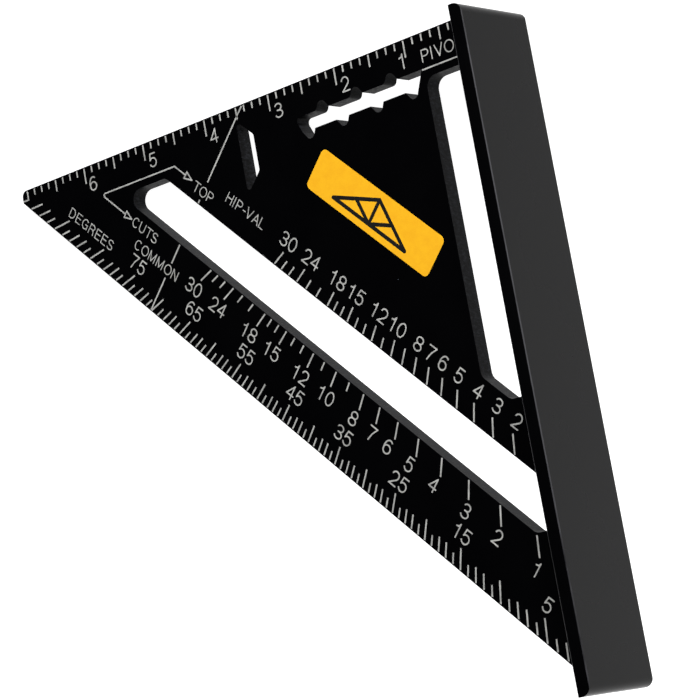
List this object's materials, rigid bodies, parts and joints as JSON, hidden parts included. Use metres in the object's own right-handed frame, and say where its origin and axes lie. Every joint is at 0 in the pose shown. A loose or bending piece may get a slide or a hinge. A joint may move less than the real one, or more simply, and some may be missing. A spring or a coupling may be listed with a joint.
{
  "type": "speed square",
  "caption": "Right-angled triangular rafter square with a T-shaped fence, ruler, degree and rafter scales, and four through slots.",
  "frame": {"origin": "the pivot corner: where the ruler edge meets the fence's bearing face, on the marked face of the blade", "axes": "+X out through the fence, square to its outer face; +Y along the bearing face, from the hypotenuse end towards the ruler end; +Z out of the marked face"},
  "size_m": [0.1844, 0.1844, 0.0287],
  "materials": {
    "anodised_black": "satin black anodised",
    "etched_mark": "matt pale marking",
    "badge_yellow": "flat printed ink",
    "badge_black": "flat printed ink"
  },
  "bodies": {
    "root": {"blade": "anodised_black", "fence": "anodised_black", "inch_scale_ticks": "etched_mark", "inch_scale_numerals": "etched_mark", "degree_scale_ticks": "etched_mark", "degree_scale_numerals": "etched_mark", "common_scale_ticks": "etched_mark", "common_scale_numerals": "etched_mark", "hip_val_scale_ticks": "etched_mark", "hip_val_scale_numerals": "etched_mark", "degrees_legend": "etched_mark", "common_legend": "etched_mark", "hip_val_legend": "etched_mark", "top_cuts_legends": "etched_mark", "pivot_legend": "etched_mark", "top_cuts_leader": "etched_mark", "rafter_index_line": "etched_mark", "rear_inch_scale_ticks": "etched_mark", "rear_inch_scale_numerals": "etched_mark", "rear_degree_scale_ticks": "etched_mark", "rear_degree_scale_numerals": "etched_mark", "badge_panel": "badge_yellow", "badge_emblem": "badge_black"}
  },
  "joints": []
}
